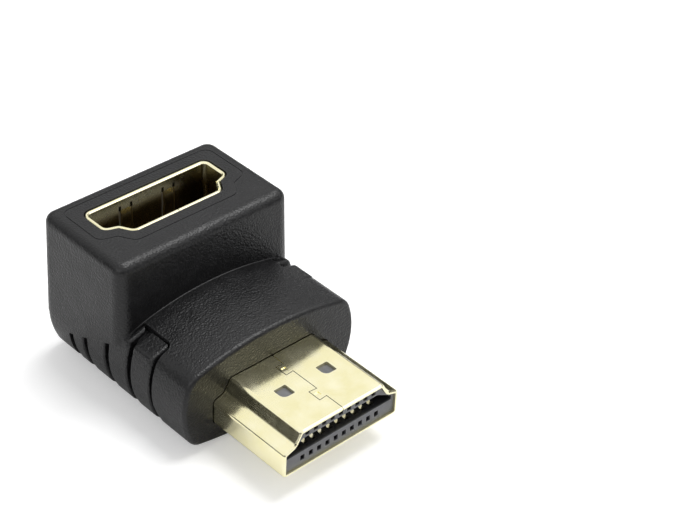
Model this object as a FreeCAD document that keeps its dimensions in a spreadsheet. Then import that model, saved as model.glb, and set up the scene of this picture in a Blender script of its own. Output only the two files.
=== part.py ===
"""Right angle video adapter: a D-shaped gold plug and a D-shaped socket in one moulded body.

Every piece is drawn in the plug's own frame and then placed. There, X runs across the plug,
the plug points along -Y and leaves the moulded body at Y = 0, Z = 0 is the outside of the
plug's wide face, and the socket opens upward. The part's origin is at the bottom centre of
the whole adapter, so one placement carries each piece from the plug's frame to the part's.
"""
import FreeCAD, Part
import math
import os
import re
import Sketcher

# Driving sizes in millimetres and degrees, each written once.
SIZES = {
    # The D outline that plug and socket share: the outside of the plug's shell.
    "plug_width": 13.9,
    "plug_height": 4.45,
    "plug_side": 2.72,
    "shoulder_reach": 5.7,
    "shoulder_height": 3.15,
    "narrow_width": 9.9,
    "foot_radius": 0.45,
    "bend_radius": 0.45,
    "hollow_radius": 0.7,
    # The plug's folded shell, its seam with two dovetail locks, and its latch windows.
    "plug_wall": 0.3,
    "plug_reach": 9.6,
    "plug_depth": 5.0,
    "lead_in": 0.12,
    "seam_gap": 0.08,
    "seam_open": 0.16,
    "lock_start": 1.6,
    "lock_pitch": 4.5,
    "lock_length": 1.3,
    "lock_reach": 0.87,
    "lock_flare": 0.08,
    "coin_width": 0.5,
    "coin_depth": 0.1,
    "latch_side": 1.4,
    "latch_round": 0.62,
    "latch_corner": 0.12,
    "latch_spread": 5.08,
    "latch_back": 4.58,
    # The plug's insulator and contacts.
    "contact_pitch": 1.0,
    "contact_width": 0.4,
    "contact_thick": 0.2,
    "fit_play": 0.02,
    "nose_recess": 0.25,
    "nose_end": 3.0,
    "cavity_floor": 1.78,
    "cavity_ceiling": 3.27,
    "cavity_width": 12.7,
    "cavity_side": 2.25,
    "cavity_slope_width": 11.7,
    "cavity_slope_height": 2.55,
    "cavity_narrow": 9.0,
    "cavity_depth": 7.0,
    "slot_width": 0.52,
    "slot_height": 0.6,
    "slot_low": 1.05,
    "slot_high": 3.75,
    "slot_wall": 0.6,
    "run_inset": 0.06,
    "arm_start": 5.2,
    "arm_rise": 0.42,
    "arm_peak": 7.6,
    "arm_crown": 0.45,
    "tip_gap": 0.3,
    "solder_length": 2.4,
    # The circuit board between plug and socket.
    "board_rim": 0.3,
    "board_gap": 0.6,
    "board_rear": 1.5,
    # The socket: its shell, spring fingers, insulator, tongue and contacts.
    "socket_inset": 3.35,
    "socket_play": 0.05,
    "socket_wall": 0.3,
    "socket_sink": 0.04,
    "socket_lift": 0.5,
    "lip_out": 0.08,
    "lip_height": 0.35,
    "leg_width": 1.2,
    "leg_offset": 1.75,
    "leg_below": 0.5,
    "leg_play": 0.1,
    "finger_width": 1.05,
    "finger_slit": 0.28,
    "finger_spread": 5.08,
    "finger_top": 0.8,
    "finger_flat": 0.45,
    "finger_length": 4.2,
    "finger_bend": 0.16,
    "tongue_recess": 3.2,
    "tongue_thick": 1.2,
    "tongue_width": 11.2,
    "tongue_narrow": 9.2,
    "tongue_chamfer": 0.7,
    "base_height": 1.8,
    "contact_proud": 0.08,
    "contact_short": 0.35,
    "foot_out": 1.2,
    # The inner mould round the board, the tails and the socket's foot.
    "core_wall": 0.35,
    "core_start": 1.6,
    "core_rear": 1.2,
    "core_under": 0.5,
    "core_over": 5.4,
    "collar_wall": 0.7,
    "collar_below": 1.6,
    # The moulded outer body: a lens-shaped lower part and a drafted block on it.
    "body_width": 20.7,
    "body_depth": 21.5,
    "belly_drop": 2.65,
    "belly_radius": 40.0,
    "arch_top": 7.7,
    "arch_radius": 31.0,
    "belly_inset": 1.18,
    "arch_inset": 0.93,
    "side_radius": 8.0,
    "belly_corner": 1.6,
    "arch_corner": 2.0,
    "nose_edge": 0.4,
    "block_length": 12.6,
    "block_top": 13.5,
    "block_seat": 2.55,
    "seat_overlap": 0.3,
    "block_proud": 0.02,
    "block_draft": 1.7,
    "block_corner": 1.5,
    "block_edge": 0.95,
    "shell_gap": 0.09,
    "shell_gap_depth": 0.4,
    "line_offset": 1.25,
    "line_width": 0.1,
    "line_depth": 0.06,
    # Grip ribs on both sides, in a pocket that wraps from the belly to the arch.
    "grip_lead": 4.25,
    "grip_depth": 0.7,
    "grip_fade": 0.45,
    "grip_run_out": 0.6,
    "grip_arch_depth": 0.8,
    "grip_corner": 0.9,
    "groove_width": 0.5,
    "rib_length": 2.8,
    "rib_last": 1.8,
    "rib_front_edge": 0.2,
    "rib_rear_edge": 0.3,
    "flare_top": 2.0,
    "flare_reach": 0.95,
    "pad_drop": 0.35,
    "pad_gap": 0.12,
    "pad_reach": 0.6,
    "pad_under": 5.1,
    "pad_corner": 0.5,
    "pad_round": 0.35,
    "grip_belly": 6.0,
    "grip_arch": 7.65,
    "rib_end_gap": 0.45,
    "grip_high": 5.2,
    "grip_low": 1.7,
    # The bare oval recess on the belly.
    "oval_length": 13.0,
    "oval_width": 7.2,
    "oval_depth": 0.45,
    "oval_middle": 11.4,
}
RIB_COUNT = 4
WIDE_COUNT = 10
NARROW_COUNT = 9
OUTSIDE = 3

doc = FreeCAD.newDocument("right_angle_adapter")
sheet = doc.addObject("Spreadsheet::Sheet", "sizes")
for row, (alias, size) in enumerate(SIZES.items(), start=1):
    sheet.set(f"A{row}", alias)
    sheet.set(f"B{row}", str(size))
    sheet.setAlias(f"B{row}", alias)
doc.recompute()

# Lengths that several pieces share, as expressions of the sheet's words.
HALF = "plug_width / 2"
NOSE = "(plug_reach - nose_recess)"
LOW_RUN = "(cavity_floor - run_inset)"
HIGH_RUN = "(cavity_ceiling + run_inset)"
SHELL_TOP = "(block_top - socket_sink)"
SHELL_FOOT = f"({HIGH_RUN} + socket_lift)"
SHELL_OUT = "(socket_play + socket_wall)"
TONGUE_TIP = f"({SHELL_TOP} - tongue_recess)"
SOCKET_BACK = "(body_depth - socket_inset)"
TONGUE_Y = f"({SOCKET_BACK} - (cavity_floor + cavity_ceiling) / 2)"
BOARD_SIDE = f"({HALF} + {SHELL_OUT} + board_rim)"
CORE_SIDE = f"({BOARD_SIDE} + core_wall)"
BLOCK_FRONT = "(body_depth - block_length)"
BELOW = f"(-belly_drop - {OUTSIDE})"
ABOVE = f"(arch_top + {OUTSIDE})"
BEYOND = f"(body_width / 2 + {OUTSIDE})"
GRIP_START = f"({BLOCK_FRONT} - grip_lead)"
GRIP_END = f"({GRIP_START} + {RIB_COUNT - 1} * rib_length + rib_last + {RIB_COUNT + 1} * groove_width)"
FACE_Y = "((plug_reach - body_depth) / 2)"
SHOULDER = "atan((shoulder_height - plug_side) / (plug_width / 2 - shoulder_reach))"
SLOPE = "atan((plug_height - shoulder_height) / (shoulder_reach - narrow_width / 2))"


def bind(text):
    """The same expression, with each of the sheet's words pointing at its cell."""
    return re.sub("[a-z_]+", lambda w: "sizes." + w.group() if w.group() in SIZES else w.group(), text)


def number(text):
    """What an expression comes to now, for geometry that needs a starting place."""
    found = sheet.evalExpression(bind(text))
    return float(getattr(found, "Value", found))


# Outlines, as corners (x, y), (x, y, "round", radius) or (x, y, "bulge", radius).
def rectangle(left, right, low, high):
    """Four corners, anticlockwise."""
    return [(left, low), (right, low), (right, high), (left, high)]


def mirrored(right):
    """A whole outline from its right half, which runs from the bottom to the top."""
    return right + [(f"-({c[0]})", *c[1:]) for c in reversed(right)]


def d_outline(grow="0", hollow="round", sharper="0"):
    """The plug's D outline, wide side down, with every side moved out by grow."""
    bend = f"bend_radius + {grow} - ({sharper})"
    swell = f"({grow}) / (1 + cos({SLOPE} - {SHOULDER}))"
    notch_x = f"shoulder_reach + (sin({SHOULDER}) + sin({SLOPE})) * {swell}"
    notch_y = f"shoulder_height + (cos({SHOULDER}) + cos({SLOPE})) * {swell}"
    side = f"{HALF} + {grow}"
    notch = (notch_x, notch_y)
    if hollow == "round":
        notch += ("round", f"hollow_radius - ({grow})")
    return mirrored([
        (side, f"-({grow})", "round", f"foot_radius + {grow} - ({sharper})"),
        (side, f"plug_side + ({grow}) * tan(45 deg - {SHOULDER} / 2)", "round", bend),
        notch,
        (f"narrow_width / 2 + ({grow}) * tan({SLOPE} / 2)", f"plug_height + {grow}", "round", bend),
    ])


def upright(corners):
    """An outline drawn for the plug, turned for the socket: its wide side is at the rear."""
    return [(c[0], f"{SOCKET_BACK} - ({c[1]})", *c[2:]) for c in reversed(corners)]


def lens(low_in="belly_inset", high_in="arch_inset", belly_skin="0", arch_skin="0"):
    """The lower body's section: bulged sides, a shallow belly and an arched top."""
    low = f"(body_width / 2 - ({low_in}))"
    high = f"(body_width / 2 - ({high_in}))"
    belly = f"(belly_radius - {belly_skin})"
    arch = f"(arch_radius - {arch_skin})"
    low_z = f"{belly} - sqrt({belly} ^ 2 - {low} ^ 2) - belly_drop + {belly_skin}"
    high_z = f"arch_top - {arch_skin} - {arch} + sqrt({arch} ^ 2 - {high} ^ 2)"
    side = ("bulge", "side_radius")
    return [(f"-{low}", low_z, "bulge", belly), (low, low_z, *side),
            (high, high_z, "bulge", arch), (f"-{high}", high_z, *side)]


def row_places(count):
    """The X of each contact in a row, as expressions."""
    return [f"({k} - {(count - 1) / 2}) * contact_pitch" for k in range(count)]


def slots(count, half_width, low, high):
    """One rectangle for each contact of a row."""
    places = row_places(count)
    return [rectangle(f"{x} - ({half_width})", f"{x} + ({half_width})", low, high) for x in places]


# Sketches.
def pin_point(sketch, geometry, end, corner):
    """Holds one point of the sketch at its corner's place, measured from the origin."""
    for kind, text in (("DistanceX", corner[0]), ("DistanceY", corner[1])):
        index = sketch.addConstraint(Sketcher.Constraint(kind, -1, 1, geometry, end, number(text)))
        sketch.setExpression(f"Constraints[{index}]", bind(text))


def hold_radius(sketch, geometry, text):
    """Binds an arc's radius to an expression."""
    index = sketch.addConstraint(Sketcher.Constraint("Radius", geometry, number(text)))
    sketch.setExpression(f"Constraints[{index}]", bind(text))


def add_bulge(sketch, start, end, text):
    """An arc from start to end that swells to the right of its direction."""
    radius = number(text)
    chord = end - start
    across = FreeCAD.Vector(chord.y, -chord.x, 0).normalize()
    sagitta = radius - math.sqrt(radius ** 2 - chord.Length ** 2 / 4)
    edge = sketch.addGeometry(Part.Arc(start, (start + end) / 2 + across * sagitta, end), False)
    hold_radius(sketch, edge, text)
    return edge


def add_round(sketch, lines, point, into, out, corner):
    """Joins two lines by an arc that touches both, round a held corner point."""
    radius = number(corner[3])
    half_turn = into.getAngle(out) / 2
    inward = (out - into).normalize()
    centre = point + inward * (radius / math.cos(half_turn))
    middle = math.atan2(-inward.y, -inward.x)
    circle = Part.Circle(centre, FreeCAD.Vector(0, 0, 1), radius)
    arc = sketch.addGeometry(Part.ArcOfCircle(circle, middle - half_turn, middle + half_turn), False)
    first, last = (1, 2) if into.cross(out).z > 0 else (2, 1)
    sketch.addConstraint(Sketcher.Constraint("Tangent", lines[0], 2, arc, first))
    sketch.addConstraint(Sketcher.Constraint("Tangent", lines[1], 1, arc, last))
    held = sketch.addGeometry(Part.Point(point), True)
    for line in lines:
        sketch.addConstraint(Sketcher.Constraint("PointOnObject", held, 1, line))
    pin_point(sketch, held, 1, corner)
    hold_radius(sketch, arc, corner[3])


def draw(sketch, corners):
    """Draws one closed outline, anticlockwise, with every size bound to the sheet."""
    points = [FreeCAD.Vector(number(c[0]), number(c[1]), 0) for c in corners]
    count = len(corners)
    ways = [(points[(i + 1) % count] - points[i]).normalize() for i in range(count)]
    kinds = [c[2] if len(c) > 2 else "plain" for c in corners]
    trims = []
    for i, corner in enumerate(corners):
        half_turn = ways[i - 1].getAngle(ways[i]) / 2
        trims.append(number(corner[3]) * math.tan(half_turn) if kinds[i] == "round" else 0)
    edges = []
    for i, corner in enumerate(corners):
        start = points[i] + ways[i] * trims[i]
        end = points[(i + 1) % count] - ways[i] * trims[(i + 1) % count]
        if kinds[i] == "bulge":
            edges.append(add_bulge(sketch, start, end, corner[3]))
        else:
            edges.append(sketch.addGeometry(Part.LineSegment(start, end), False))
    for i, corner in enumerate(corners):
        if kinds[i] == "round":
            add_round(sketch, (edges[i - 1], edges[i]), points[i], ways[i - 1], ways[i], corner)
        else:
            sketch.addConstraint(Sketcher.Constraint("Coincident", edges[i - 1], 2, edges[i], 1))
            pin_point(sketch, edges[i], 1, corner)


# Bodies and their features. Each plane's sketch faces -Y, +Z or +X.
def new_body(name, across="0"):
    """A body placed in the part's frame, moved across by its own amount."""
    body = doc.addObject("PartDesign::Body", name)
    body.Label = name
    body.setExpression("Placement.Base.x", bind(across))
    body.setExpression("Placement.Base.y", bind(FACE_Y))
    body.setExpression("Placement.Base.z", bind("belly_drop"))
    return body


def sketch_on(body, name, axis, place, outlines):
    """A sketch across one axis of the body, at a place along that axis."""
    role = {"x": "YZ_Plane", "y": "XZ_Plane", "z": "XY_Plane"}[axis]
    sketch = body.newObject("Sketcher::SketchObject", name + "_sketch")
    plane = [p for p in body.Origin.OriginFeatures if p.Role == role][0]
    sketch.AttachmentSupport = [(plane, "")]
    sketch.MapMode = "FlatFace"
    shift = f"-({place})" if axis == "y" else place
    sketch.setExpression("AttachmentOffset.Base.z", bind(shift))
    for corners in outlines:
        draw(sketch, corners)
    return sketch


def pad(body, name, axis, place, length, outlines, taper=None):
    """Adds material from a plane along +X, +Z or -Y."""
    sketch = sketch_on(body, name, axis, place, outlines)
    feature = body.newObject("PartDesign::Pad", name)
    feature.Profile = sketch
    feature.setExpression("Length", bind(length))
    if taper:
        feature.setExpression("TaperAngle", bind(taper))
    doc.recompute()
    return feature


def pocket(body, name, axis, place, length, outlines, reverse=False):
    """Removes material from a plane along -X, -Z or +Y, or the other way in reverse."""
    before = body.Shape.Volume
    sketch = sketch_on(body, name, axis, place, outlines)
    feature = body.newObject("PartDesign::Pocket", name)
    feature.Profile = sketch
    feature.Reversed = reverse
    feature.setExpression("Length", bind(length))
    doc.recompute()
    if body.Shape.Volume > before - 1e-4:
        raise RuntimeError(name + " cuts nothing")
    return feature


def dress(body, kind, name, base, size, wanted):
    """A fillet or chamfer on the edges of a feature that wanted picks."""
    feature = body.newObject("PartDesign::" + kind, name)
    edges = [f"Edge{i}" for i, edge in enumerate(base.Shape.Edges, start=1) if wanted(edge)]
    feature.Base = (base, edges)
    feature.setExpression("Radius" if kind == "Fillet" else "Size", bind(size))
    doc.recompute()
    return feature


def at_level(axis, text):
    """Picks edges that lie in the plane across an axis at a place."""
    level = number(text)
    return lambda edge: all(abs(getattr(p, axis) - level) < 1e-4 for p in edge.discretize(5))


def along_y(edge):
    """Picks edges that run along Y."""
    ends = [v.Point for v in edge.Vertexes]
    return len(ends) == 2 and abs(abs((ends[1] - ends[0]).normalize().y) - 1) < 1e-6


def fuse(name, shapes):
    """The union of several objects."""
    feature = doc.addObject("Part::MultiFuse", name)
    feature.Shapes = shapes
    return feature


def common(name, shapes):
    """What several objects share."""
    feature = doc.addObject("Part::MultiCommon", name)
    feature.Shapes = shapes
    return feature


def cut(name, base, tools):
    """A base less all of its tools."""
    feature = doc.addObject("Part::Cut", name)
    feature.Base = base
    feature.Tool = fuse(name + "_tools", tools) if len(tools) > 1 else tools[0]
    feature.Refine = True
    doc.recompute()
    return feature


# The plug's shell: one sheet folded to a D, its seam on the narrow face held by dovetails.
def make_plug_shell():
    body = new_body("plug_shell")
    length = "plug_depth + plug_reach"
    prism = pad(body, "plug_sheet", "y", "plug_depth", length, [d_outline()])
    dress(body, "Chamfer", "plug_lead", prism, "lead_in", at_level("y", "-plug_reach"))
    pocket(body, "plug_bore", "y", "-plug_reach", length, [d_outline("-plug_wall")])
    pocket(body, "latch_windows", "z", "plug_height", "2 * plug_wall", latch_windows())
    pocket(body, "seam", "z", "plug_height", "2 * plug_wall", [seam_slit()])
    wide_end = "lock_start - lock_length / 10"
    open_slit = rectangle("-seam_open / 2", "seam_open / 2", f"-({wide_end})", "plug_depth")
    pocket(body, "seam_mouth", "z", "plug_height", "2 * plug_wall", [open_slit])
    pocket(body, "lock_coins", "z", "plug_height", "coin_depth", lock_coins())
    return body


def latch_windows():
    """Two square windows whose front left corner is rounded."""
    windows = []
    for side in ("-", ""):
        left = f"{side}latch_spread / 2 - latch_side / 2"
        right = f"{side}latch_spread / 2 + latch_side / 2"
        front = "-latch_back - latch_side / 2"
        back = "-latch_back + latch_side / 2"
        windows.append([(left, front, "round", "latch_round"), (right, front, "round", "latch_corner"),
                        (right, back, "round", "latch_corner"), (left, back, "round", "latch_corner")])
    return windows


def lock_ends(index):
    """Where a dovetail lock starts and ends, as distances in front of the moulded face."""
    start = f"(lock_start + {index} * lock_pitch)"
    return start, f"({start} + lock_length)"


def seam_slit():
    """The seam as one thin slit that goes round the heads of both locks."""
    half = "seam_gap / 2"
    right = [(half, "plug_depth")]
    left = [(f"-{half}", "plug_depth")]
    for index in (0, 1):
        start, end = lock_ends(index)
        inner, outer = f"-lock_reach + {half}", f"-lock_reach - {half}"
        right += [(half, f"-{start} - {half}"), (inner, f"-{start} - {half} + lock_flare"),
                  (inner, f"-{end} + {half} - lock_flare"), (half, f"-{end} + {half}")]
        left += [(f"-{half}", f"-{start} + {half}"), (outer, f"-{start} + {half} + lock_flare"),
                 (outer, f"-{end} - {half} - lock_flare"), (f"-{half}", f"-{end} - {half}")]
    right.append((half, "-plug_reach"))
    left.append((f"-{half}", "-plug_reach"))
    return left + list(reversed(right))


def lock_coins():
    """The shallow coined mark in each lock's head."""
    coins = []
    for index in (0, 1):
        start, end = lock_ends(index)
        middle = f"(({start} + {end}) / 2)"
        coins.append(rectangle("-lock_reach / 2 - coin_width / 2", "-lock_reach / 2 + coin_width / 2",
                               f"-{middle} - coin_width / 2", f"-{middle} + coin_width / 2"))
    return coins


# The plug's insulator: a solid D with a cavity for the tongue and a channel for each contact.
def make_plug_insulator():
    body = new_body("plug_insulator")
    skin = "-plug_wall - fit_play"
    pad(body, "nose", "y", "nose_end", f"nose_end + {NOSE}", [d_outline(skin)])
    cavity = mirrored([("cavity_width / 2", "cavity_floor"), ("cavity_width / 2", "cavity_side"),
                       ("cavity_slope_width / 2", "cavity_slope_height"),
                       ("cavity_narrow / 2", "cavity_ceiling")])
    pocket(body, "cavity", "y", f"-{NOSE}", "cavity_depth", [cavity])
    slot_depth = "slot_wall + slot_height"
    for name, count, middle in (("low", WIDE_COUNT, "slot_low"), ("high", NARROW_COUNT, "slot_high")):
        low, high = f"{middle} - slot_height / 2", f"{middle} + slot_height / 2"
        openings = slots(count, "slot_width / 2", low, high)
        pocket(body, name + "_slots", "y", f"-{NOSE}", slot_depth, openings)
    low_depth = "cavity_floor - slot_low + slot_height / 2"
    high_depth = "slot_high + slot_height / 2 - cavity_ceiling"
    front, back = f"-{NOSE} + slot_wall", f"-{NOSE} + cavity_depth"
    pocket(body, "low_channels", "z", "cavity_floor", low_depth,
           slots(WIDE_COUNT, "slot_width / 2", front, back))
    pocket(body, "high_channels", "z", "cavity_ceiling", high_depth,
           slots(NARROW_COUNT, "slot_width / 2", front, back), reverse=True)
    passages(body, "nose", "nose_end", f"nose_end + {NOSE} - cavity_depth + slot_wall")
    return body


def passages(body, name, rear, length):
    """Square passages for both rows of contacts, from the rear towards the front."""
    wide = "contact_width / 2 + fit_play"
    low = slots(WIDE_COUNT, wide, f"{LOW_RUN} - contact_thick - fit_play", f"{LOW_RUN} + fit_play")
    high = slots(NARROW_COUNT, wide, f"{HIGH_RUN} - fit_play", f"{HIGH_RUN} + contact_thick + fit_play")
    pocket(body, name + "_low_passages", "y", rear, length, low, reverse=True)
    pocket(body, name + "_high_passages", "y", rear, length, high, reverse=True)


# The spacer behind the insulator, which keeps the tails in line for the board.
def make_plug_spacer():
    body = new_body("plug_spacer")
    length = "plug_depth - nose_end - fit_play"
    pad(body, "spacer", "y", "plug_depth", length, [d_outline("-plug_wall - fit_play")])
    passages(body, "spacer", "plug_depth", length)
    return body


# The plug's contacts: a straight run, a sprung arm that rises in the cavity, and a tip.
def plug_contact_outline(low):
    """One contact from the side. The low row rises from the wide face, the high row mirrors it."""
    run, rise, tip = (LOW_RUN, "+", "slot_low") if low else (HIGH_RUN, "-", "slot_high")
    tail = "plug_depth + board_gap + solder_length"
    slope_y = f"-({NOSE} - slot_wall) + contact_thick / 4"
    end = f"{tip} {rise} contact_thick / 2"
    inner = [(tail, run), ("-arm_start", run),
             ("-arm_peak + arm_crown", f"{run} {rise} arm_rise * 0.92"),
             ("-arm_peak", f"{run} {rise} arm_rise"),
             ("-arm_peak - arm_crown", f"{run} {rise} arm_rise * 0.7"),
             (slope_y, end), (f"-{NOSE} + tip_gap", end)]
    outer = [(y, f"{z} {'-' if low else '+'} contact_thick") for y, z in inner]
    return list(reversed(outer)) + inner if low else list(reversed(inner)) + outer


def make_plug_contacts():
    contacts = {}
    for low, count in ((True, WIDE_COUNT), (False, NARROW_COUNT)):
        for across in row_places(count):
            name = f"plug_contact_{len(contacts) + 1:02d}"
            body = new_body(name, across)
            outline = plug_contact_outline(low)
            pad(body, name + "_strip", "x", "-contact_width / 2", "contact_width", [outline])
            contacts[name] = body
    return contacts


# The circuit board: the plug's tails straddle its front edge, and the socket stands on it.
def make_circuit_board():
    body = new_body("circuit_board")
    front = "plug_depth + board_gap"
    area = rectangle(f"-{BOARD_SIDE}", BOARD_SIDE, front, "body_depth - board_rear")
    pad(body, "board", "z", LOW_RUN, f"{HIGH_RUN} - {LOW_RUN}", [area])
    pocket(body, "leg_holes", "z", HIGH_RUN, f"{HIGH_RUN} - {LOW_RUN}", leg_outlines("leg_play"))
    return body


def leg_outlines(grow):
    """The section of both shell legs, moved out on every side by grow."""
    near = f"{HALF} + socket_play - ({grow})"
    far = f"{HALF} + {SHELL_OUT} + {grow}"
    low = f"{SOCKET_BACK} - leg_offset - leg_width / 2 - ({grow})"
    high = f"{SOCKET_BACK} - leg_offset + leg_width / 2 + {grow}"
    return [rectangle(near, far, low, high), rectangle(f"-({far})", f"-({near})", low, high)]


# The socket's shell: a D tube with a turned lip, two legs and two spring fingers.
def make_socket_shell():
    body = new_body("socket_shell")
    pad(body, "socket_tube", "z", SHELL_FOOT, f"{SHELL_TOP} - {SHELL_FOOT}",
        [upright(d_outline(SHELL_OUT))])
    lip = upright(d_outline(f"{SHELL_OUT} + lip_out"))
    pad(body, "socket_lip", "z", f"{SHELL_TOP} - lip_height", "lip_height", [lip])
    bore = pocket(body, "socket_bore", "z", SHELL_TOP, f"{SHELL_TOP} - {SHELL_FOOT}",
                  [upright(d_outline("socket_play"))])
    reach = number(f"{HALF} + socket_play") + 1e-4
    rear = number(f"{SOCKET_BACK} + socket_play") + 1e-4
    top = at_level("z", SHELL_TOP)

    def inner_rim(edge):
        points = edge.discretize(5)
        inside = all(abs(p.x) < reach and p.y < rear for p in points)
        return top(edge) and inside and all(p.y > number(f"{SOCKET_BACK} - plug_height - socket_play") - 1e-4
                                            for p in points)

    dress(body, "Chamfer", "socket_lead", bore, "lead_in", inner_rim)
    foot = f"{LOW_RUN} - leg_below"
    pad(body, "socket_legs", "z", foot, f"{SHELL_FOOT} + socket_wall - ({foot})", leg_outlines("0"))
    high = f"({SHELL_TOP} - finger_top)"
    low = f"({high} - finger_length)"
    middles = ["-finger_spread / 2", "finger_spread / 2"]
    half_window = "finger_width / 2 + finger_slit"
    windows = [rectangle(f"{x} - ({half_window})", f"{x} + {half_window}", low, high) for x in middles]
    pocket(body, "finger_windows", "y", f"{SOCKET_BACK} - socket_play", "1", windows)
    for side, x in zip(("left", "right"), middles):
        pad(body, side + "_finger", "x", f"{x} - finger_width / 2", "finger_width",
            [finger_outline(high, low)])
    seam = rectangle("-seam_gap / 2", "seam_gap / 2", SHELL_FOOT, SHELL_TOP)
    narrow_face = f"{SOCKET_BACK} - plug_height - {SHELL_OUT} - lip_out"
    pocket(body, "socket_seam", "y", narrow_face, f"{SHELL_OUT} + lip_out", [seam])
    return body


def finger_outline(high, low):
    """A spring finger from the side: rooted at its top, bowed inward, free at its foot."""
    wall = f"({SOCKET_BACK} + socket_play)"
    line = [(wall, f"{high} + finger_flat / 2"), (wall, f"{high} - finger_flat"),
            (f"{wall} - finger_bend", f"{high} - 2 * finger_flat"),
            (f"{wall} - finger_bend", f"{high} - finger_length / 2"), (wall, f"{low} + finger_slit")]
    back = [(f"{y} + socket_wall", z) for y, z in line]
    return line + list(reversed(back))


# The socket's insulator: a base that fills the shell and a tongue for both rows of contacts.
def make_socket_insulator():
    body = new_body("socket_insulator")
    pad(body, "base", "z", SHELL_FOOT, "base_height", [upright(d_outline("socket_play - fit_play"))])
    half = "tongue_thick / 2"
    tongue = mirrored([("tongue_narrow / 2", f"{TONGUE_Y} - {half}"),
                       ("tongue_width / 2", f"{TONGUE_Y} - {half} + tongue_chamfer"),
                       ("tongue_width / 2", f"{TONGUE_Y} + {half}")])
    pad(body, "tongue", "z", SHELL_FOOT, f"{TONGUE_TIP} - {SHELL_FOOT}", [tongue])
    depth = f"{TONGUE_TIP} - contact_short + fit_play"
    strips = (("rear", WIDE_COUNT, *rear_strip()), ("front", NARROW_COUNT, *front_strip()))
    for name, count, low, high in strips:
        grooves = slots(count, "contact_width / 2 + fit_play", f"{low} - fit_play", f"{high} + fit_play")
        pocket(body, name + "_grooves", "z", depth, f"{depth} - {SHELL_FOOT}", grooves)
    return body


def rear_strip():
    """Where the contacts on the tongue's rear face start and end along Y."""
    face = f"({TONGUE_Y} + tongue_thick / 2 + contact_proud)"
    return f"({face} - contact_thick)", face


def front_strip():
    """Where the contacts on the tongue's front face start and end along Y."""
    face = f"({TONGUE_Y} - tongue_thick / 2 - contact_proud)"
    return face, f"({face} + contact_thick)"


# The socket's contacts: a strip on the tongue, down through the base to a foot on the board.
def socket_contact_outline(rear):
    """One contact from the side. The rear row's feet point back, the front row's forward."""
    tip = f"{TONGUE_TIP} - contact_short"
    step = f"{HIGH_RUN} + contact_thick"
    if rear:
        low, high = rear_strip()
        foot = f"{SOCKET_BACK} + {SHELL_OUT} + foot_out"
        return [(low, HIGH_RUN), (foot, HIGH_RUN), (foot, step), (high, step), (high, tip), (low, tip)]
    low, high = front_strip()
    foot = f"{SOCKET_BACK} - plug_height - {SHELL_OUT} - foot_out"
    return [(foot, HIGH_RUN), (high, HIGH_RUN), (high, tip), (low, tip), (low, step), (foot, step)]


def make_socket_contacts():
    contacts = {}
    for rear, count in ((True, WIDE_COUNT), (False, NARROW_COUNT)):
        for across in row_places(count):
            name = f"socket_contact_{len(contacts) + 1:02d}"
            body = new_body(name, across)
            outline = socket_contact_outline(rear)
            pad(body, name + "_strip", "x", "-contact_width / 2", "contact_width", [outline])
            contacts[name] = body
    return contacts


# The space that plug shell and socket shell take up, as filled prisms.
def plug_space(name, grow, rear, length):
    body = new_body(name)
    pad(body, name + "_prism", "y", rear, length, [d_outline(grow)])
    return body


def socket_space(name, grow, low, length):
    body = new_body(name)
    pad(body, name + "_prism", "z", low, length, [upright(d_outline(grow))])
    return body


# The inner mould's outside: a low core round the board and a collar round the socket.
def make_core():
    body = new_body("mould_core")
    area = rectangle(f"-{CORE_SIDE}", CORE_SIDE, "core_start", "body_depth - core_rear")
    pad(body, "core", "z", "-core_under", "core_under + core_over", [area])
    reach = f"{SHELL_OUT} + collar_wall"
    collar = rectangle(f"-({HALF} + {reach})", f"{HALF} + {reach}",
                       f"{SOCKET_BACK} - plug_height - ({reach})", f"{SOCKET_BACK} + {reach}")
    pad(body, "collar", "z", "core_over", "block_top - collar_below - core_over", [collar])
    return body


def make_inner_mould(core, nodes):
    """The first moulding, poured round everything that is soldered to the board."""
    plug = plug_space("plug_bed", "0", "plug_depth", "plug_depth")
    socket = socket_space("socket_bed", SHELL_OUT, HIGH_RUN, f"block_top - {HIGH_RUN}")
    legs = new_body("leg_bed")
    foot = f"{LOW_RUN} - leg_below"
    pad(legs, "leg_bed_prism", "z", foot, f"{HIGH_RUN} - ({foot})", leg_outlines("0"))
    kept = [node for name, node in nodes.items() if "contact" in name or name == "circuit_board"]
    return cut("inner_mould", core, [plug, socket, legs] + kept)


# The outer body before its openings: the lens-shaped lower part and the drafted block.
def lens_prism(name, rear, length, section, corners):
    """A stretch of a lens section, with its long edges rounded below and above."""
    body = new_body(name)
    feature = pad(body, name + "_pad", "y", rear, length, [section])
    middle = number("(arch_top - belly_drop) / 2")
    for part, radius, high in (("belly", corners[0], False), ("arch", corners[1], True)):
        feature = dress(body, "Fillet", f"{name}_{part}", feature, radius,
                        lambda e: along_y(e) and (e.CenterOfMass.z > middle) == high)
    return body, feature


def make_form():
    rear = "(body_depth - block_proud)"
    lower, feature = lens_prism("lower_form", rear, rear, lens(), ("belly_corner", "arch_corner"))
    feature = dress(lower, "Fillet", "nose_round", feature, "nose_edge", at_level("y", "0"))
    dress(lower, "Fillet", "tail_round", feature, "block_corner", at_level("y", rear))
    under_block = rectangle(f"-{BEYOND}", BEYOND, f"{BLOCK_FRONT} + block_corner", "body_depth + 1")
    depth = "arch_top + 1 - block_seat - seat_overlap"
    pocket(lower, "block_bed", "z", "arch_top + 1", depth, [under_block])
    block = new_body("block_form")
    side = "(body_width / 2)"
    rim = ("round", "block_corner")
    area = [(f"-{side}", BLOCK_FRONT, *rim), (side, BLOCK_FRONT, *rim),
            (side, "body_depth", *rim), (f"-{side}", "body_depth", *rim)]
    tower = pad(block, "tower", "z", "block_seat", "block_top - block_seat", [area], taper="-block_draft")
    dress(block, "Fillet", "tower_round", tower, "block_edge", at_level("z", "block_top"))
    return fuse("plain_form", [lower, block])


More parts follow.
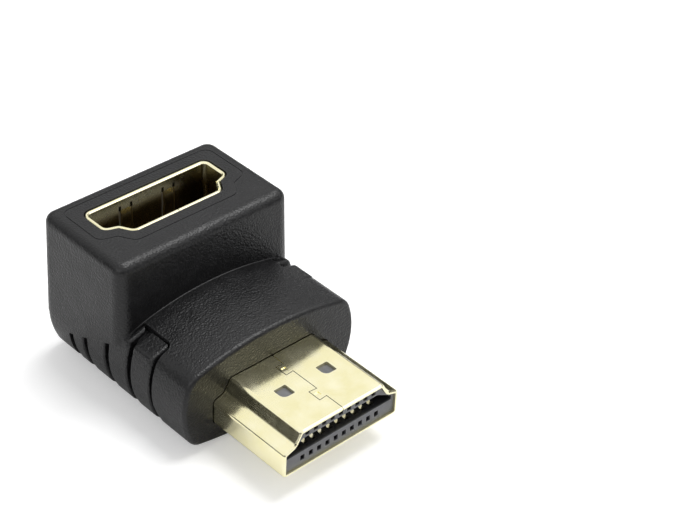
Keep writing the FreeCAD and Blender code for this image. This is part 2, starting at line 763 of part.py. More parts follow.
# The grip: a pocket on each side that the ribs stand in. The first two ribs carry sunk pads.
def both_sides(inner, front, back, corner):
    """Two rectangles in plan, out from |X| = inner, with their inner corners rounded."""
    rim = ("round", corner)
    right = [(inner, front, *rim), (BEYOND, front), (BEYOND, back), (inner, back, *rim)]
    left = [(f"-({c[0]})", *c[1:]) for c in reversed(right)]
    return [left, right]


def grip_region(name, margin, top):
    """The part of both sides that the grip takes up, to a top that slopes under the block."""
    plan = new_body(name + "_plan")
    split = "(grip_high / 2)"
    front, back = GRIP_START, GRIP_END
    levels = (("belly", BELOW, split, "grip_belly"), ("arch", split, ABOVE, "grip_arch"))
    for level, low, high, inner in levels:
        pad(plan, f"{name}_{level}", "z", low, f"{high} - {low}",
            both_sides(f"{inner} + {margin}", front, back, "grip_corner"))
    side = new_body(name + "_side")
    shape = [(front, BELOW), (back, BELOW), (back, "grip_low"), (BLOCK_FRONT, "grip_high"),
             (BLOCK_FRONT, top), (front, top)]
    pad(side, name + "_profile", "x", f"-{BEYOND}", f"2 * {BEYOND}", [shape])
    return common(name, [plan, side])


def rib_span(index):
    """Where a rib starts, and how long it is. The last one is shorter."""
    start = f"({GRIP_START} + {index + 1} * groove_width + {index} * rib_length)"
    return start, "rib_last" if index == RIB_COUNT - 1 else "rib_length"


def slab(name, start, length, section, corners, front_edge, rear_edge):
    """A lens-shaped slab with the edges of both its faces rounded."""
    body, feature = lens_prism(name, f"{start} + {length}", length, section, corners)
    feature = dress(body, "Fillet", name + "_front", feature, front_edge, at_level("y", start))
    dress(body, "Fillet", name + "_back", feature, rear_edge, at_level("y", f"{start} + {length}"))
    return body


def make_ribs():
    """The ribs' rounded sides, up to the height where the pads start."""
    corners = ("belly_corner", "arch_corner")
    rows = []
    for index in range(RIB_COUNT):
        start, length = rib_span(index)
        rows.append(slab(f"rib_{index + 1}", start, length, lens(), corners,
                         "rib_front_edge", "rib_rear_edge"))
    space = grip_region("rib_space", "rib_end_gap", "pad_under + pad_drop / 4")
    return common("ribs", [fuse("rib_rows", rows), space])


def make_pads():
    """The sunk pads on top of the first two ribs. The second one runs into the block."""
    section = lens(high_in="pad_reach", arch_skin="pad_drop")
    first, length = rib_span(0)
    second = rib_span(1)[0]
    rest = f"{BLOCK_FRONT} + 2 * pad_round - {second}"
    corners = ("belly_corner", "pad_corner")
    rows = [slab("pad_1", first, length, section, corners, "pad_round", "pad_round"),
            slab("pad_2", second, rest, section, corners, "pad_round", "pad_round")]
    room = new_body("pad_space")
    plans = both_sides("grip_arch + pad_gap", first, f"{first} + {length}", "pad_corner")
    plans += both_sides("grip_arch + pad_gap", second, f"{second} + 2 * ({rest})", "pad_corner")
    pad(room, "pad_room", "z", "pad_under", f"{ABOVE} - pad_under", plans)
    return common("pads", [fuse("pad_rows", rows), room])


def make_flares():
    """Wedges that widen each groove towards the belly, at the rear of what stands before it."""
    body = new_body("flares")
    places = [f"({rib_span(index)[0]} - groove_width)" for index in range(RIB_COUNT)]
    places.append(f"({GRIP_END} - groove_width)")
    inner = "(grip_belly + rib_end_gap)"
    for side, start in (("left", f"-{BEYOND}"), ("right", inner)):
        wedges = [[(f"{place} - flare_reach", "-belly_drop"), (f"{place} + groove_width / 2", "-belly_drop"),
                   (f"{place} + groove_width / 2", "flare_top")] for place in places]
        pad(body, f"{side}_flares", "x", start, f"{BEYOND} - {inner}", wedges)
    return body


def make_grip(form):
    """Cuts both pockets and stands the ribs and pads in them."""
    corners = ("belly_corner - grip_depth", "arch_corner - grip_depth")
    deep = "belly_inset + grip_depth"
    front = lens(deep, "arch_inset + grip_fade", "grip_depth", "grip_arch_depth")
    under = lens(deep, "arch_inset - grip_run_out", "grip_depth", "grip_arch_depth")
    change = f"({rib_span(2)[0]} + rib_length / 2)"
    floors = [lens_prism("front_floor", change, change, front, corners)[0],
              lens_prism("under_floor", "body_depth", f"body_depth - {change}", under, corners)[0]]
    pocket_space = cut("grip_pocket", grip_region("grip_space", "0", ABOVE), floors)
    ribbed = fuse("ribbed_form", [cut("hollowed_form", form, [pocket_space]), make_ribs(), make_pads()])
    flare_space = cut("flare_space", make_flares(), floors)
    return cut("gripped_form", ribbed, [flare_space])


def make_oval():
    """The space of the bare oval recess, up from below the belly."""
    oval = doc.addObject("Part::Ellipse", "oval_edge")
    oval.setExpression("MajorRadius", bind("oval_length / 2"))
    oval.setExpression("MinorRadius", bind("oval_width / 2"))
    oval.Placement.Rotation = FreeCAD.Rotation(FreeCAD.Vector(0, 0, 1), 90)
    oval.setExpression("Placement.Base.y", bind(f"{FACE_Y} + oval_middle"))
    oval.setExpression("Placement.Base.z", bind("-oval_depth"))
    space = doc.addObject("Part::Extrusion", "oval_space")
    space.Base = oval
    space.DirMode = "Custom"
    space.Dir = FreeCAD.Vector(0, 0, 1)
    space.Solid = True
    space.setExpression("LengthFwd", bind("2 * oval_depth"))
    return space


def make_overmould(core):
    """The black outer moulding, open for the plug's shell and for the socket's mouth."""
    gripped = make_grip(make_form())
    lip = f"{SHELL_OUT} + lip_out"
    line = new_body("line_space")
    marks = [upright(d_outline(f"{lip} + line_offset + {width}", "plain", "line_offset"))
             for width in ("line_width", "0")]
    pad(line, "line", "z", "block_top - line_depth", "2 * line_depth", marks)
    spaces = [
        core,
        line,
        make_oval(),
        plug_space("plug_opening", "0", "plug_depth", "plug_depth + 1"),
        plug_space("plug_gap", "shell_gap", "shell_gap_depth", "shell_gap_depth + 1"),
        socket_space("socket_opening", SHELL_OUT, "core_over", "block_top - core_over + 1"),
        socket_space("socket_gap", f"{lip} + shell_gap", f"block_top - {SHELL_OUT} - shell_gap_depth", "2"),
    ]
    return cut("overmould", gripped, spaces)


def check_document():
    """Stops at the first object that failed to build."""
    for thing in doc.Objects:
        if "Invalid" in thing.State or "Error" in thing.State:
            raise RuntimeError(f"{thing.Name} is {thing.State}")


def write_parts(nodes):
    """Writes one file for each sub-part, after checking all of them."""
    for name, node in nodes.items():
        if node.Shape.isNull() or not node.Shape.isValid() or not node.Shape.Solids:
            raise RuntimeError(name + " has no valid solid")
    os.makedirs("parts", exist_ok=True)
    for name, node in nodes.items():
        node.Shape.exportStep(f"parts/{name}.step")
        print(name, len(node.Shape.Solids), round(node.Shape.Volume, 3))


nodes = {
    "plug_shell": make_plug_shell(),
    "plug_insulator": make_plug_insulator(),
    "plug_spacer": make_plug_spacer(),
    "circuit_board": make_circuit_board(),
    "socket_shell": make_socket_shell(),
    "socket_insulator": make_socket_insulator(),
}
nodes.update(make_plug_contacts())
nodes.update(make_socket_contacts())
mould_core = make_core()
nodes["inner_mould"] = make_inner_mould(mould_core, nodes)
nodes["overmould"] = make_overmould(mould_core)
doc.recompute()
check_document()
write_parts(nodes)
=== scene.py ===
# %% [markdown]
# A right angle video adapter: a gold plug in front, a gold socket on top, and a black moulded
# body that turns the corner between them. This script gives them their looks, a camera and
# soft light. Everything is in metres, and the adapter is only 31 mm long, so its own sizes
# are written in millimetres and turned into metres by one small factor.

# %% Load the adapter's solids
import math
import bpy
from mathutils import Matrix, Vector


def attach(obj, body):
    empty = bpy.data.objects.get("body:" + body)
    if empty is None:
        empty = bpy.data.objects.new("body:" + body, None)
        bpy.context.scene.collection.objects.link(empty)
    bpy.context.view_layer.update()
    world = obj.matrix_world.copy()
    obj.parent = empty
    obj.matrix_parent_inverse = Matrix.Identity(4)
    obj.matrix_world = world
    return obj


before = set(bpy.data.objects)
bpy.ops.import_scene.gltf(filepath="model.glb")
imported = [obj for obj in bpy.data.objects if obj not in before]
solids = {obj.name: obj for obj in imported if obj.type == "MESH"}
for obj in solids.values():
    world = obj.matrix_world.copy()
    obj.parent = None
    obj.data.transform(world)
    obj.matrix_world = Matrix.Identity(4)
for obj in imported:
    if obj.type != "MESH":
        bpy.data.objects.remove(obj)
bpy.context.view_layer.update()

MM = 0.001


def in_mm(place):
    """A place in metres as rounded millimetres, for printing."""
    return [round(value / MM, 2) for value in place]


# %% [markdown]
# The camera stands where the photographer's stood. The plug is a standard size, so its
# corners in the photograph gave the camera's angle, distance and lens. All are measured
# round the point where the middle of the plug's wide face leaves the body. An ordinary
# camera aimed by hand would also do, but then no edge could be laid over the photograph.

# %% Place the camera
PLUG_ROOT = Vector((0, -5.95, 2.65)) * MM
CAMERA_TURN = math.radians(-44.899)
CAMERA_HEIGHT = math.radians(36.303)
CAMERA_ROLL = math.radians(3.078)
CAMERA_DISTANCE = 168.985 * MM
SLIDE_RIGHT, SLIDE_UP = 7.336 * MM, 12.059 * MM
PHOTO_WIDTH = 700
FOCAL_PIXELS = 1817.156
NEAREST_SEEN = 10 * MM


def camera_axes(turn, height, roll):
    """Right, up and back of a camera that looks at the adapter."""
    away = math.cos(height)
    back = Vector((math.sin(turn) * away, -math.cos(turn) * away, math.sin(height)))
    level = Vector((math.cos(turn), math.sin(turn), 0))
    above = back.cross(level)
    right = level * math.cos(roll) + above * math.sin(roll)
    up = above * math.cos(roll) - level * math.sin(roll)
    return right, up, back


right, up, back = camera_axes(CAMERA_TURN, CAMERA_HEIGHT, CAMERA_ROLL)
eye = PLUG_ROOT + back * CAMERA_DISTANCE + right * SLIDE_RIGHT + up * SLIDE_UP
camera_data = bpy.data.cameras.new("photo_camera")
camera_data.sensor_fit = "HORIZONTAL"
camera_data.lens = FOCAL_PIXELS * camera_data.sensor_width / PHOTO_WIDTH
camera_data.clip_start = NEAREST_SEEN
camera = bpy.data.objects.new("photo_camera", camera_data)
camera.matrix_world = Matrix.Translation(eye) @ Matrix((right, up, back)).transposed().to_4x4()
bpy.context.scene.collection.objects.link(camera)
bpy.context.scene.camera = camera
bpy.context.scene.view_settings.view_transform = "Standard"
print("lens:", round(camera_data.lens, 2), "mm, eye in mm:", in_mm(eye))

# %% [markdown]
# Shader nodes are wired up in many places below, so two helpers come first. One makes a math
# node from its two sources. The other tells rays apart: those straight from the camera, those
# that come by way of a mirror or glass, and all the rest, which carry soft light. The paper
# and the tent look different to each kind, as a photographer's cards and cloths do.

# %% Write the first node helpers


def calculate(nodes, links, kind, first, second):
    """A math node fed by two sockets or numbers."""
    node = nodes.new("ShaderNodeMath")
    node.operation = kind
    for index, source in enumerate((first, second)):
        if isinstance(source, (int, float)):
            node.inputs[index].default_value = source
        else:
            links.new(source, node.inputs[index])
    return node.outputs[0]


def rays_seen(nodes, links):
    """Two masks: rays straight from the camera, and rays by way of a mirror or glass."""
    ray = nodes.new("ShaderNodeLightPath").outputs
    mirrored = calculate(nodes, links, "MAXIMUM", ray["Is Glossy Ray"], ray["Is Transmission Ray"])
    return ray["Is Camera Ray"], mirrored


# %% [markdown]
# The adapter lies on a white sweep, as small products are photographed. A flat square below
# it is enough, because the camera looks down. The square glows a little to the camera, so no
# lamp has to be strong enough to bleach it, and it still keeps a soft shadow: the shadow
# darkens the part of its shader that the lamps light. Mirrors and glass see only a little of
# the glow, or the sides of the gold and of the black body would look lit from below.

# %% Lay the floor
PAPER_SIZE = 1.6
PAPER_SHADE = 0.9
PAPER_ROUGHNESS, PAPER_SPECULAR = 0.9, 0.1
PAPER_GLOW = 0.32
MIRRORED_SHARE = 0.1


def white_paper():
    """Paper that is nearly white to the eye and still takes a shadow."""
    paper = bpy.data.materials.new("white_paper")
    paper.use_nodes = True
    nodes, links = paper.node_tree.nodes, paper.node_tree.links
    shader = nodes["Principled BSDF"]
    shader.inputs["Base Color"].default_value = (PAPER_SHADE, PAPER_SHADE, PAPER_SHADE, 1)
    shader.inputs["Roughness"].default_value = PAPER_ROUGHNESS
    shader.inputs["Specular IOR Level"].default_value = PAPER_SPECULAR
    glow = nodes.new("ShaderNodeEmission")
    glow.inputs["Color"].default_value = (PAPER_GLOW, PAPER_GLOW, PAPER_GLOW, 1)
    direct, mirrored = rays_seen(nodes, links)
    faint = calculate(nodes, links, "MULTIPLY", mirrored, MIRRORED_SHARE)
    links.new(calculate(nodes, links, "ADD", direct, faint), glow.inputs["Strength"])
    both = nodes.new("ShaderNodeAddShader")
    links.new(shader.outputs[0], both.inputs[0])
    links.new(glow.outputs[0], both.inputs[1])
    links.new(both.outputs[0], nodes["Material Output"].inputs["Surface"])
    return paper


half = PAPER_SIZE / 2
paper_corners = [(-half, -half, 0), (half, -half, 0), (half, half, 0), (-half, half, 0)]
paper_mesh = bpy.data.meshes.new("paper")
paper_mesh.from_pydata(paper_corners, [], [(0, 1, 2, 3)])
paper_mesh.materials.append(white_paper())
paper_floor = bpy.data.objects.new("paper", paper_mesh)
bpy.context.scene.collection.objects.link(paper_floor)
print("paper:", PAPER_SIZE, "m square")

# %% [markdown]
# Three more helpers serve the tent, and the finishes after it. One turns a range of values
# into another, one says how far a point or a direction lies along an axis, and one swaps two
# lights by a mask. Each hides a few lines of wiring, so that the code below reads as what it
# does and not as how its nodes are joined.

# %% Write the tent's node helpers


def remap(nodes, links, source, start, end, low=0.0, high=1.0, kind="LINEAR"):
    """A value that goes from low to high while its source goes from start to end."""
    node = nodes.new("ShaderNodeMapRange")
    node.interpolation_type = kind
    node.inputs["From Min"].default_value = start
    node.inputs["From Max"].default_value = end
    node.inputs["To Min"].default_value = low
    node.inputs["To Max"].default_value = high
    links.new(source, node.inputs["Value"])
    return node.outputs[0]


def along_axis(nodes, links, kind, axis):
    """How far a point or direction lies along one axis."""
    apart = nodes.new("ShaderNodeSeparateXYZ")
    links.new(nodes.new("ShaderNodeTexCoord").outputs[kind], apart.inputs[0])
    return apart.outputs[axis]


def swap_light(nodes, links, mask, first, second):
    """The first shader where the mask is 0, the second where it is 1."""
    node = nodes.new("ShaderNodeMixShader")
    links.new(mask, node.inputs["Fac"])
    links.new(first, node.inputs[1])
    links.new(second, node.inputs[2])
    return node.outputs[0]


# %% [markdown]
# The adapter stands in a small light tent. Polished gold shows nothing but what is round it,
# so the tent's wall matters as much as the lamps. It is white to the camera and to mirroring
# metal, and ends some way above the table, all round. The dark gap under it gives the steep
# sides of the plug their dark bands, as a photographer's black cards do. The gap's two ends
# are heights of a direction: 0 is level and 1 is straight up. For matte surfaces the wall is
# only a fill, so that the lamps above keep giving the shapes their shade.

# %% Put up the light tent
GAP_TOP, WALL_FOOT = 0.22, 0.42
GAP_SHADE = 0.03
FILL = 0.5


def put_up_tent():
    """A world: white to the camera, a wall with a dark gap to mirrors, a fill to the rest."""
    world = bpy.data.worlds.new("light_tent")
    world.use_nodes = True
    nodes, links = world.node_tree.nodes, world.node_tree.links
    fill = nodes["Background"]
    fill.inputs["Color"].default_value = (FILL, FILL, FILL, 1)
    wall = nodes.new("ShaderNodeBackground")
    sky = nodes.new("ShaderNodeBackground")
    for white in (wall, sky):
        white.inputs["Color"].default_value = (1, 1, 1, 1)
    height = along_axis(nodes, links, "Generated", "Z")
    strength = remap(nodes, links, height, GAP_TOP, WALL_FOOT, low=GAP_SHADE, kind="SMOOTHSTEP")
    links.new(strength, wall.inputs["Strength"])
    direct, mirrored = rays_seen(nodes, links)
    inside = swap_light(nodes, links, mirrored, fill.outputs[0], wall.outputs[0])
    seen = swap_light(nodes, links, direct, inside, sky.outputs[0])
    links.new(seen, nodes["World Output"].inputs["Surface"])
    return world


bpy.context.scene.world = put_up_tent()
print("tent: fill", FILL, "dark below", round(math.degrees(math.asin(GAP_TOP))), "degrees")

# %% [markdown]
# Three soft panels light it: a large one overhead and a little to the right, which leaves
# the shadow at the lower left, one low on the left for the side of the block, and one at the
# front right that draws the soft line along the block's rounded edge. Sun or point lamps
# would give hard small highlights, which soft plastic in a tent doesn't show.

# %% Hang the lamps
LAMP_AIM = Vector((0, 0, 8 * MM))


def hang_panel(name, place, width, watts):
    """A square area lamp at a place in metres, turned to the adapter."""
    lamp = bpy.data.lights.new(name, "AREA")
    lamp.shape = "SQUARE"
    lamp.size = width
    lamp.energy = watts
    panel = bpy.data.objects.new(name, lamp)
    panel.location = place
    panel.rotation_euler = (LAMP_AIM - Vector(place)).to_track_quat("-Z", "Y").to_euler()
    bpy.context.scene.collection.objects.link(panel)
    print(name, "at", place, "with", watts, "W")


hang_panel("overhead_panel", place=(0.17, 0.0, 0.5), width=0.3, watts=2.0)
hang_panel("left_panel", place=(-0.5, -0.1, 0.3), width=0.3, watts=0.4)
hang_panel("front_panel", place=(0.35, -0.4, 0.38), width=0.25, watts=0.24)

# %% [markdown]
# Three effects are shared by several materials, so each is one node group: a small shader
# with inputs and outputs of its own, made once and placed wherever it is needed. Wiring it up
# again in each material would look the same, but then a change would have to be made in every
# copy. These helpers start a group, name its sockets and add the nodes that groups use most.

# %% Write the group helpers


def add_socket(group, name, kind, way, value=None):
    """One named input or output of a node group."""
    socket = group.interface.new_socket(name=name, in_out=way, socket_type=kind)
    if value is not None:
        socket.default_value = value


def start_group(name):
    """An empty group with its input and output nodes, ready for sockets."""
    group = bpy.data.node_groups.new(name, "ShaderNodeTree")
    given = group.nodes.new("NodeGroupInput")
    made = group.nodes.new("NodeGroupOutput")
    return group, given, made


def blend(nodes, links, share, first, second):
    """A value that goes from the first to the second as the share rises."""
    node = nodes.new("ShaderNodeMix")
    links.new(share, node.inputs["Factor"])
    links.new(first, node.inputs["A"])
    links.new(second, node.inputs["B"])
    return node.outputs["Result"]


def add_noise(nodes, links, place, scale, detail):
    """Noise over the object, at a scale in waves per metre."""
    node = nodes.new("ShaderNodeTexNoise")
    node.inputs["Detail"].default_value = detail
    links.new(place, node.inputs["Vector"])
    links.new(scale, node.inputs["Scale"])
    return node.outputs["Fac"]


# %% [markdown]
# The first effect is grain: a blasted mould leaves the plastic pebbled, and a press leaves
# metal faintly mottled. Cells give the pebbles, noise at two sizes gives the rest, and two
# inputs blend between them. It is put out as a height for a Bump node and as a mottle for
# colour and roughness. Noise has no seams on any face, where an image would need the faces
# unwrapped.

# %% Make the grain group
COARSE_RATE = 0.12
FINE_DETAIL, COARSE_DETAIL = 3, 4


def make_grain():
    """Pebbles and noise, set by the grain's size in millimetres."""
    group, given, made = start_group("surface_grain")
    add_socket(group, "Grain Size", "NodeSocketFloat", "INPUT", 0.15)
    add_socket(group, "Coarse Share", "NodeSocketFloat", "INPUT", 0.35)
    add_socket(group, "Pebble Share", "NodeSocketFloat", "INPUT", 0.0)
    add_socket(group, "Height", "NodeSocketFloat", "OUTPUT")
    add_socket(group, "Mottle", "NodeSocketFloat", "OUTPUT")
    nodes, links = group.nodes, group.links
    place = nodes.new("ShaderNodeTexCoord").outputs["Object"]
    rate = calculate(nodes, links, "DIVIDE", 1 / MM, given.outputs["Grain Size"])
    coarse_rate = calculate(nodes, links, "MULTIPLY", rate, COARSE_RATE)
    fine = add_noise(nodes, links, place, rate, FINE_DETAIL)
    coarse = add_noise(nodes, links, place, coarse_rate, COARSE_DETAIL)
    pebbles = nodes.new("ShaderNodeTexVoronoi")
    pebbles.feature = "SMOOTH_F1"
    links.new(place, pebbles.inputs["Vector"])
    links.new(rate, pebbles.inputs["Scale"])
    domes = calculate(nodes, links, "SUBTRACT", 1.0, pebbles.outputs["Distance"])
    noise = blend(nodes, links, given.outputs["Coarse Share"], fine, coarse)
    height = blend(nodes, links, given.outputs["Pebble Share"], noise, domes)
    links.new(height, made.inputs["Height"])
    links.new(coarse, made.inputs["Mottle"])
    return group


grain = make_grain()
print("grain group:", [socket.name for socket in grain.interface.items_tree])

# %% [markdown]
# The second effect is drawing lines: sheet metal keeps faint straight scratches along the
# way it was rolled and pressed. Noise stretched fifty times along Y gives them, and the
# same group serves shells and contacts with other values. Real scratches cut as geometry
# would be far too fine for any mesh.

# %% Make the drawing lines group
LINE_DETAIL = 2


def make_drawn_lines():
    """Noise stretched along the sheet's rolling direction."""
    group, given, made = start_group("drawn_lines")
    add_socket(group, "Line Spacing", "NodeSocketFloat", "INPUT", 0.08)
    add_socket(group, "Stretch", "NodeSocketVector", "INPUT", (1, 0.02, 1))
    add_socket(group, "Height", "NodeSocketFloat", "OUTPUT")
    nodes, links = group.nodes, group.links
    stretched = nodes.new("ShaderNodeVectorMath")
    stretched.operation = "MULTIPLY"
    links.new(nodes.new("ShaderNodeTexCoord").outputs["Object"], stretched.inputs[0])
    links.new(given.outputs["Stretch"], stretched.inputs[1])
    rate = calculate(nodes, links, "DIVIDE", 1 / MM, given.outputs["Line Spacing"])
    lines = add_noise(nodes, links, stretched.outputs[0], rate, LINE_DETAIL)
    links.new(lines, made.inputs["Height"])
    return group


drawn_lines = make_drawn_lines()
print("lines group:", [socket.name for socket in drawn_lines.interface.items_tree])

# %% [markdown]
# The third is edge wear: handling polishes and lightens the edges that stick out. A Bevel node
# gives the normal that a softened edge would have, and where it leans away from the true
# normal there is an edge. Pointiness would also find edges, but it needs many vertices, which
# flat CAD faces don't have. The grain breaks the worn band up.

# %% Make the edge wear group
FLAT_LEAN, EDGE_LEAN = 0.995, 0.9
BEVEL_SAMPLES = 4


def make_edge_wear():
    """A mask that is high along edges, over a reach in millimetres."""
    group, given, made = start_group("edge_wear")
    add_socket(group, "Reach", "NodeSocketFloat", "INPUT", 0.2)
    add_socket(group, "Break Up", "NodeSocketFloat", "INPUT", 0.5)
    add_socket(group, "Mask", "NodeSocketFloat", "OUTPUT")
    nodes, links = group.nodes, group.links
    soft = nodes.new("ShaderNodeBevel")
    soft.samples = BEVEL_SAMPLES
    reach = calculate(nodes, links, "MULTIPLY", given.outputs["Reach"], MM)
    links.new(reach, soft.inputs["Radius"])
    lean = nodes.new("ShaderNodeVectorMath")
    lean.operation = "DOT_PRODUCT"
    links.new(soft.outputs["Normal"], lean.inputs[0])
    links.new(nodes.new("ShaderNodeNewGeometry").outputs["Normal"], lean.inputs[1])
    edge = remap(nodes, links, lean.outputs["Value"], FLAT_LEAN, EDGE_LEAN)
    broken = calculate(nodes, links, "MULTIPLY", edge, given.outputs["Break Up"])
    links.new(broken, made.inputs["Mask"])
    return group


edge_wear = make_edge_wear()
print("wear group:", [socket.name for socket in edge_wear.interface.items_tree])

# %% [markdown]
# Every finish below starts in the same way: a Principled shader, a colour that drifts between
# two tones and turns to a third on worn edges, a roughness that drifts between two values, and
# a bump. One helper wires that up, so each finish is then a handful of numbers that can be
# read side by side.

# %% Write the colour helpers
MOTTLE_LOW, MOTTLE_HIGH = 0.3, 0.7


def drift(nodes, links, mottle, low, high):
    """A value that follows the mottle from low to high."""
    return remap(nodes, links, mottle, MOTTLE_LOW, MOTTLE_HIGH, low, high)


def mix_colours(nodes, links, mask, first, second):
    """A colour between two, each a plain tone or a socket."""
    node = nodes.new("ShaderNodeMix")
    node.data_type = "RGBA"
    colour_inputs = [socket for socket in node.inputs if socket.type == "RGBA"]
    for socket, source in zip(colour_inputs, (first, second)):
        if isinstance(source, tuple):
            socket.default_value = (*source, 1)
        else:
            links.new(source, socket)
    links.new(mask, node.inputs[0])
    return [socket for socket in node.outputs if socket.type == "RGBA"][0]


def place_group(nodes, group, **values):
    """A group in a material, with its inputs set by name."""
    node = nodes.new("ShaderNodeGroup")
    node.node_tree = group
    for name, value in values.items():
        node.inputs[name.replace("_", " ").title()].default_value = value
    return node


print("mottle from", MOTTLE_LOW, "to", MOTTLE_HIGH)

# %% [markdown]
# The helper takes the bump as its strength and its depth in millimetres. The two shares say
# how much of the grain is coarse and how much is pebbles. The lines, which only metal has,
# are their spacing in millimetres and their stretch.

# %% Write the finish helper


def finish(name, tones, roughness, grain_size, bump,
           metallic=0.0, specular=0.5, shares=(0.35, 0.0), lines=None):
    """A procedural finish. Tones are two drifting colours and the colour of worn edges."""
    material = bpy.data.materials.new(name)
    material.use_nodes = True
    nodes, links = material.node_tree.nodes, material.node_tree.links
    shader = nodes["Principled BSDF"].inputs
    shader["Metallic"].default_value = metallic
    shader["Specular IOR Level"].default_value = specular
    pattern = place_group(nodes, grain, grain_size=grain_size,
                          coarse_share=shares[0], pebble_share=shares[1])
    height, mottle = pattern.outputs["Height"], pattern.outputs["Mottle"]
    wear = place_group(nodes, edge_wear)
    links.new(height, wear.inputs["Break Up"])
    colour = mix_colours(nodes, links, drift(nodes, links, mottle, 0, 1), tones[0], tones[1])
    worn = mix_colours(nodes, links, wear.outputs["Mask"], colour, tones[2])
    links.new(worn, shader["Base Color"])
    links.new(drift(nodes, links, mottle, *roughness), shader["Roughness"])
    if lines:
        drawn = place_group(nodes, drawn_lines, line_spacing=lines[0], stretch=lines[1])
        height = calculate(nodes, links, "ADD", height, drawn.outputs["Height"])
    relief = nodes.new("ShaderNodeBump")
    relief.inputs["Strength"].default_value = bump[0]
    relief.inputs["Distance"].default_value = bump[1] * MM
    links.new(height, relief.inputs["Height"])
    links.new(relief.outputs["Normal"], shader["Normal"])
    print(name, "roughness", roughness, "grain", grain_size, "mm")
    return material


# %% [markdown]
# The body is black PVC, moulded against a finely pebbled mould. It is truly black, and what
# looks grey on it is the white tent in its satin surface, so the base colour is very low and
# the pebbles are strong enough to break the sheen up. A matte grey base would look the same
# on one face and wrong on all others.

# %% Finish the moulded body
black_pvc = finish(
    "black_pvc",
    tones=((0.004, 0.004, 0.0045), (0.007, 0.007, 0.0075), (0.03, 0.03, 0.031)),
    roughness=(0.32, 0.42), grain_size=0.18, bump=(0.95, 0.08),
    specular=0.38, shares=(0.3, 0.6))

# %% [markdown]
# Shells and contacts are gold plated. The plating is thin, pale and a little green beside
# jewellery, over sheet that was drawn and pressed, so it mirrors softly and shows faint
# lines along the plug. A yellow paint with a clear coat would be simpler, but it wouldn't
# tint what it mirrors, as metal does.

# %% Finish the gold
GOLD_TONES = ((0.92, 0.86, 0.52), (0.96, 0.91, 0.63), (0.97, 0.94, 0.74))
SHELL_LINES = (0.08, (1, 0.02, 1))

plug_gold = finish(
    "gold_plate", GOLD_TONES, metallic=1.0,
    roughness=(0.13, 0.21), grain_size=0.2, bump=(0.2, 0.02), lines=SHELL_LINES)
contact_gold = finish(
    "contact_gold", metallic=1.0,
    tones=((0.94, 0.86, 0.52), (0.97, 0.92, 0.66), (0.98, 0.95, 0.75)),
    roughness=(0.14, 0.22), grain_size=0.2, bump=(0.1, 0.01), lines=(0.05, (1, 0.03, 1)))

# %% [markdown]
# The socket's shell has the same plating, but it is bright only on its rolled rim. Down the
# bore, shade is painted into the colour: it turns a dull brown and darkens with depth. A ramp on
# the object's height gives that. Leaving it to shadow alone is not enough, because polished
# walls that face each other keep passing the tent's light down.

# %% Finish the socket's gold
RIM_HEIGHT = 16.11
BORE_BRIGHT, BORE_DARK = 0.15, 2.4
# Painted shade: the dull brown that the bore's colour turns to with depth.
BORE_SHADE_TONE = (0.24, 0.17, 0.065)


def add_ramp(nodes, links, axis, start, end):
    """A mask that goes from 0 to 1 between two places on an axis, in millimetres."""
    place = along_axis(nodes, links, "Object", axis)
    return remap(nodes, links, place, start * MM, end * MM, kind="SMOOTHSTEP")


def tint(material, pick_mask, tone):
    """Paints shade into a finish's colour: turns it to a tone where a mask is high."""
    nodes, links = material.node_tree.nodes, material.node_tree.links
    base = nodes["Principled BSDF"].inputs["Base Color"]
    untinted = base.links[0].from_socket
    links.new(mix_colours(nodes, links, pick_mask(nodes, links), untinted, tone), base)


def painted_bore_shade(nodes, links):
    """Painted shade in the bore: high from some way under the socket's rim down."""
    return add_ramp(nodes, links, "Z", RIM_HEIGHT - BORE_BRIGHT, RIM_HEIGHT - BORE_DARK)


socket_gold = finish(
    "socket_gold", GOLD_TONES, metallic=1.0,
    roughness=(0.2, 0.3), grain_size=0.3, bump=(0.12, 0.01), lines=SHELL_LINES)
# Paint shade into the bore's colour.
tint(socket_gold, painted_bore_shade, BORE_SHADE_TONE)
print("bore dark", BORE_DARK, "mm below the rim")

# %% [markdown]
# The insulators are glass-filled nylon, slate grey and slightly satin. Inside the plug, shade
# is painted into the colour: the same ramp as above, along the plug this time and only below
# the plug's top wall, so that the rows of slots read as holes and the latch windows, which the
# lamps above light, stay pale. Darker paint on a few faces would also do it, but then the mesh
# would have to be taken apart.

# %% Finish the insulators
PLUG_FACE = -15.35
DARK_FROM, DARK_AT = PLUG_FACE + 0.05, PLUG_FACE + 0.3
DARK_BELOW, PALE_ABOVE = 6.0, 6.6
# Painted shade: the near black that the plug's insides turn to.
CAVITY_SHADE_TONE = (0.02, 0.02, 0.022)


def painted_cavity_shade(nodes, links):
    """Painted shade in the plug: high inside it, from just behind its moulding's face, and low
    near its top wall.
    """
    inwards = add_ramp(nodes, links, "Y", DARK_FROM, DARK_AT)
    under_top = add_ramp(nodes, links, "Z", PALE_ABOVE, DARK_BELOW)
    return calculate(nodes, links, "MULTIPLY", inwards, under_top)


slate_nylon = finish(
    "slate_nylon",
    tones=((0.11, 0.112, 0.12), (0.15, 0.152, 0.162), (0.24, 0.24, 0.25)),
    roughness=(0.38, 0.5), grain_size=0.12, bump=(0.3, 0.01))
# Paint shade into the plug's insides.
tint(slate_nylon, painted_cavity_shade, CAVITY_SHADE_TONE)

# %% [markdown]
# The board is green laminate with a lacquered face, and the inner mould is uncoloured resin.
# Both only show through gaps. They could stay plain grey, but they get a real finish too, so
# that no opening looks empty and either can be shown by itself.

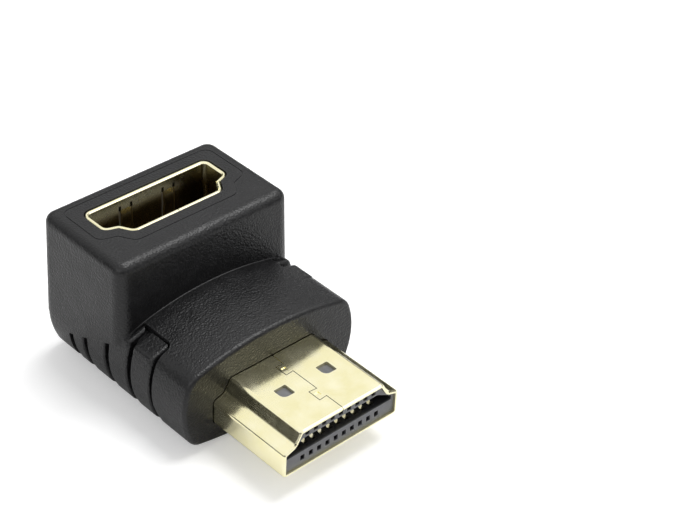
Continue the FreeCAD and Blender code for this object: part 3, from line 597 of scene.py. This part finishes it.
# %% Finish the board and the inner mould
green_board = finish(
    "green_board",
    tones=((0.012, 0.09, 0.035), (0.02, 0.13, 0.05), (0.3, 0.3, 0.18)),
    roughness=(0.3, 0.4), grain_size=0.4, bump=(0.2, 0.01))
natural_mould = finish(
    "natural_mould",
    tones=((0.5, 0.48, 0.42), (0.6, 0.58, 0.52), (0.66, 0.64, 0.6)),
    roughness=(0.45, 0.6), grain_size=0.3, bump=(0.2, 0.02))

# %% [markdown]
# Each solid now gets its finish. The material is changed and the mesh is left alone, so the
# solids stay exactly where and as large as the CAD model has them.

# %% Give each solid its finish


def give(material, names):
    """Puts a finish on solids, in place of the plain one that they came with."""
    for name in names:
        solids[name].data.materials.clear()
        solids[name].data.materials.append(material)
    print(material.name, "on", len(names), "solids")


give(black_pvc, ["overmould"])
give(plug_gold, ["plug_shell"])
give(socket_gold, ["socket_shell"])
give(contact_gold, sorted(name for name in solids if "contact" in name))
give(slate_nylon, ["plug_insulator", "plug_spacer", "socket_insulator"])
give(green_board, ["circuit_board"])
give(natural_mould, ["inner_mould"])

# %% [markdown]
# Where the block meets the arched top, the mould's parts met as well, and a hair-thin ridge
# of flash was left along that corner. It catches the light as one fine line. A swept curve
# with a round section fits it: it follows the arch, thins out at both ends, and is half sunk
# in the corner. A cut edge in the solid would be as thin but wouldn't stand proud.

# %% Draw the flash line
ARCH_TOP, ARCH_RADIUS = 10.35, 31.0
BLOCK_FRONT, BLOCK_SEAT = 2.95, 5.2
BLOCK_DRAFT = math.radians(1.7)
FLASH_REACH, FLASH_RADIUS = 8.3, 0.055
FLASH_POINTS, FLASH_ROUNDNESS = 33, 2
FLASH_THIN_END = 0.25


def corner_point(across):
    """Where the block's front face meets the arch, in millimetres."""
    height = ARCH_TOP - ARCH_RADIUS + math.sqrt(ARCH_RADIUS ** 2 - across ** 2)
    return across, BLOCK_FRONT + (height - BLOCK_SEAT) * math.tan(BLOCK_DRAFT), height


flash_curve = bpy.data.curves.new("flash_line", "CURVE")
flash_curve.dimensions = "3D"
flash_curve.bevel_depth = FLASH_RADIUS * MM
flash_curve.bevel_resolution = FLASH_ROUNDNESS
flash_curve.use_fill_caps = True
flash_run = flash_curve.splines.new("POLY")
flash_run.points.add(FLASH_POINTS - 1)
for index, point in enumerate(flash_run.points):
    along = 2 * index / (FLASH_POINTS - 1) - 1
    point.co = (*(value * MM for value in corner_point(along * FLASH_REACH)), 1)
    point.radius = FLASH_THIN_END + (1 - FLASH_THIN_END) * math.sqrt(1 - along ** 2)
flash_line = bpy.data.objects.new("flash_line", flash_curve)
bpy.context.scene.collection.objects.link(flash_line)
print("flash line:", FLASH_POINTS, "points,", 2 * FLASH_REACH, "mm long")

# %% [markdown]
# The ridge is the same PVC, but so thin that it has no room for pebbles: it is smoother, and its
# colour is paler than the body's as a painted highlight, so the line reads bright. It rides on
# the adapter's one body.

# %% Finish the flash line
# Painted highlight: the tones are paler than the body's PVC, so the thin ridge reads as a bright
# line.
painted_highlight_flash_pvc = finish(
    "painted_highlight_flash_pvc",
    tones=((0.02, 0.02, 0.021), (0.05, 0.05, 0.052), (0.06, 0.06, 0.06)),
    roughness=(0.3, 0.4), grain_size=0.2, bump=(0.3, 0.01))
flash_curve.materials.append(painted_highlight_flash_pvc)
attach(flash_line, "root")
